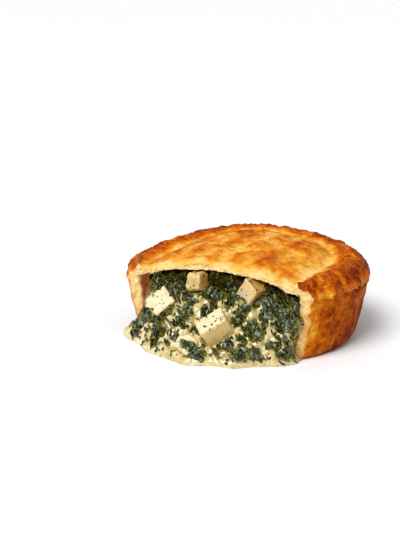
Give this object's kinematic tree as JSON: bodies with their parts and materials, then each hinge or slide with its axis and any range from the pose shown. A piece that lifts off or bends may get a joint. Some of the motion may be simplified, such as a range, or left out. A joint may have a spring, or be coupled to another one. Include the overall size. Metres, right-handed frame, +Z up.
{
  "type": "spinach pie",
  "caption": "Round deep individual pie with a golden raised lid, cut open across one side, with a creamy spinach and cheese filling spilling from the cut.",
  "frame": {"origin": "middle of the pie's round flat base, on the surface it stands on", "axes": "+Z up, -Y towards the open cut side where the filling spills out, +X towards the right-hand end of the cut as seen from in front of it"},
  "size_m": [0.1195, 0.1211, 0.0455],
  "materials": {
    "pastry_wall": "baked pastry, dry and golden",
    "pastry_lid": "egg-glazed pastry, satin",
    "filling": "wet spinach in cream sauce",
    "cheese": "soft white cheese, slightly moist"
  },
  "bodies": {
    "root": {"pastry_case": "pastry_wall", "pastry_lid": "pastry_lid", "spinach_filling": "filling", "cheese_cube_1": "cheese", "cheese_cube_2": "cheese", "cheese_cube_3": "cheese", "cheese_cube_4": "cheese", "cheese_cube_5": "cheese"}
  },
  "joints": []
}
